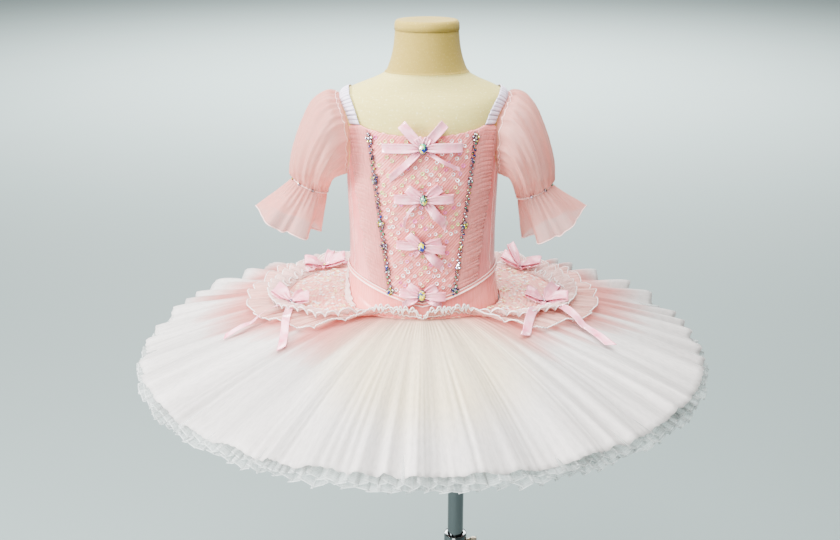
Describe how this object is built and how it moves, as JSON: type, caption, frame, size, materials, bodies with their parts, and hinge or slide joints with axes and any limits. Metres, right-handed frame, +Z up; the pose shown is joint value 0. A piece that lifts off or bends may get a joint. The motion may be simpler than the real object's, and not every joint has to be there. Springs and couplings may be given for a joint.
{
  "type": "ballet tutu on a limbless dress form with stand",
  "caption": "Child's stiff flat-skirted ballet tutu with puff sleeves, lace overlay and ribbon bows, worn on a limbless dress form on a telescopic swivelling stand.",
  "frame": {"origin": "on the floor, under the centre of the round skirt", "axes": "+Z up, -Y towards the front of the garment, +X to the viewer's right when facing it"},
  "size_m": [0.818, 0.818, 1.302],
  "materials": {
    "pink_satin": "woven satin, soft sheen",
    "sequin_lace": "sequinned lace",
    "pink_organza": "sheer organza",
    "white_organza": "crinkled white organza",
    "white_elastic": "shirred elastic",
    "top_net": "stiff net, dyed pink at the root",
    "white_net": "stiff net, ruffled",
    "knicker_jersey": "smooth jersey",
    "ribbon": "satin ribbon",
    "linen": "plain linen over a light core",
    "chrome": "polished chrome plate",
    "nickel": "nickel plate"
  },
  "bodies": {
    "stand": {"base_plate": "chrome", "stand_tube": "chrome"},
    "clamp_screw": {"clamp_screw": "nickel"},
    "pole": {"stand_pole": "chrome"},
    "dressed_form": {"back_placket": "pink_satin", "basque_back": "pink_satin", "basque_front": "pink_satin", "bodice_back_left": "pink_satin", "bodice_back_right": "pink_satin", "bodice_front_centre": "sequin_lace", "bodice_side_front_left": "pink_satin", "bodice_side_front_right": "pink_satin", "bow_front_1": "ribbon", "bow_front_2": "ribbon", "bow_front_3": "ribbon", "bow_front_4": "ribbon", "bow_skirt_back_left": "ribbon", "bow_skirt_back_right": "ribbon", "bow_skirt_front_left": "ribbon", "bow_skirt_front_right": "ribbon", "dress_form": "linen", "flounce_left": "pink_organza", "flounce_right": "pink_organza", "frill_left": "pink_organza", "frill_right": "pink_organza", "knickers_back": "knicker_jersey", "knickers_front": "knicker_jersey", "neck_cap": "linen", "overlay_left": "sequin_lace", "overlay_right": "sequin_lace", "ruffle_inner_left": "white_organza", "ruffle_inner_right": "white_organza", "ruffle_outer_left": "pink_organza", "ruffle_outer_right": "pink_organza", "skirt_lower": "white_net", "skirt_middle": "white_net", "skirt_top": "top_net", "sleeve_left": "pink_organza", "sleeve_right": "pink_organza", "strap_left": "white_elastic", "strap_right": "white_elastic", "waist_piping": "ribbon"}
  },
  "joints": [
    {"name": "clamp_screw_turn", "type": "hinge", "parent": "stand", "child": "clamp_screw", "pos_m": [0.0695, 0, 0.496], "axis": [1, 0, 0], "range_deg": [-360, 0]},
    {"name": "pole_height", "type": "slide", "parent": "stand", "child": "pole", "axis": [0, 0, 1], "range_m": [-0.15, 0.2]},
    {"name": "form_swivel", "type": "hinge", "parent": "pole", "child": "dressed_form", "pos_m": [0.052, 0, 0.8], "axis": [0, 0, 1], "continuous": true}
  ]
}
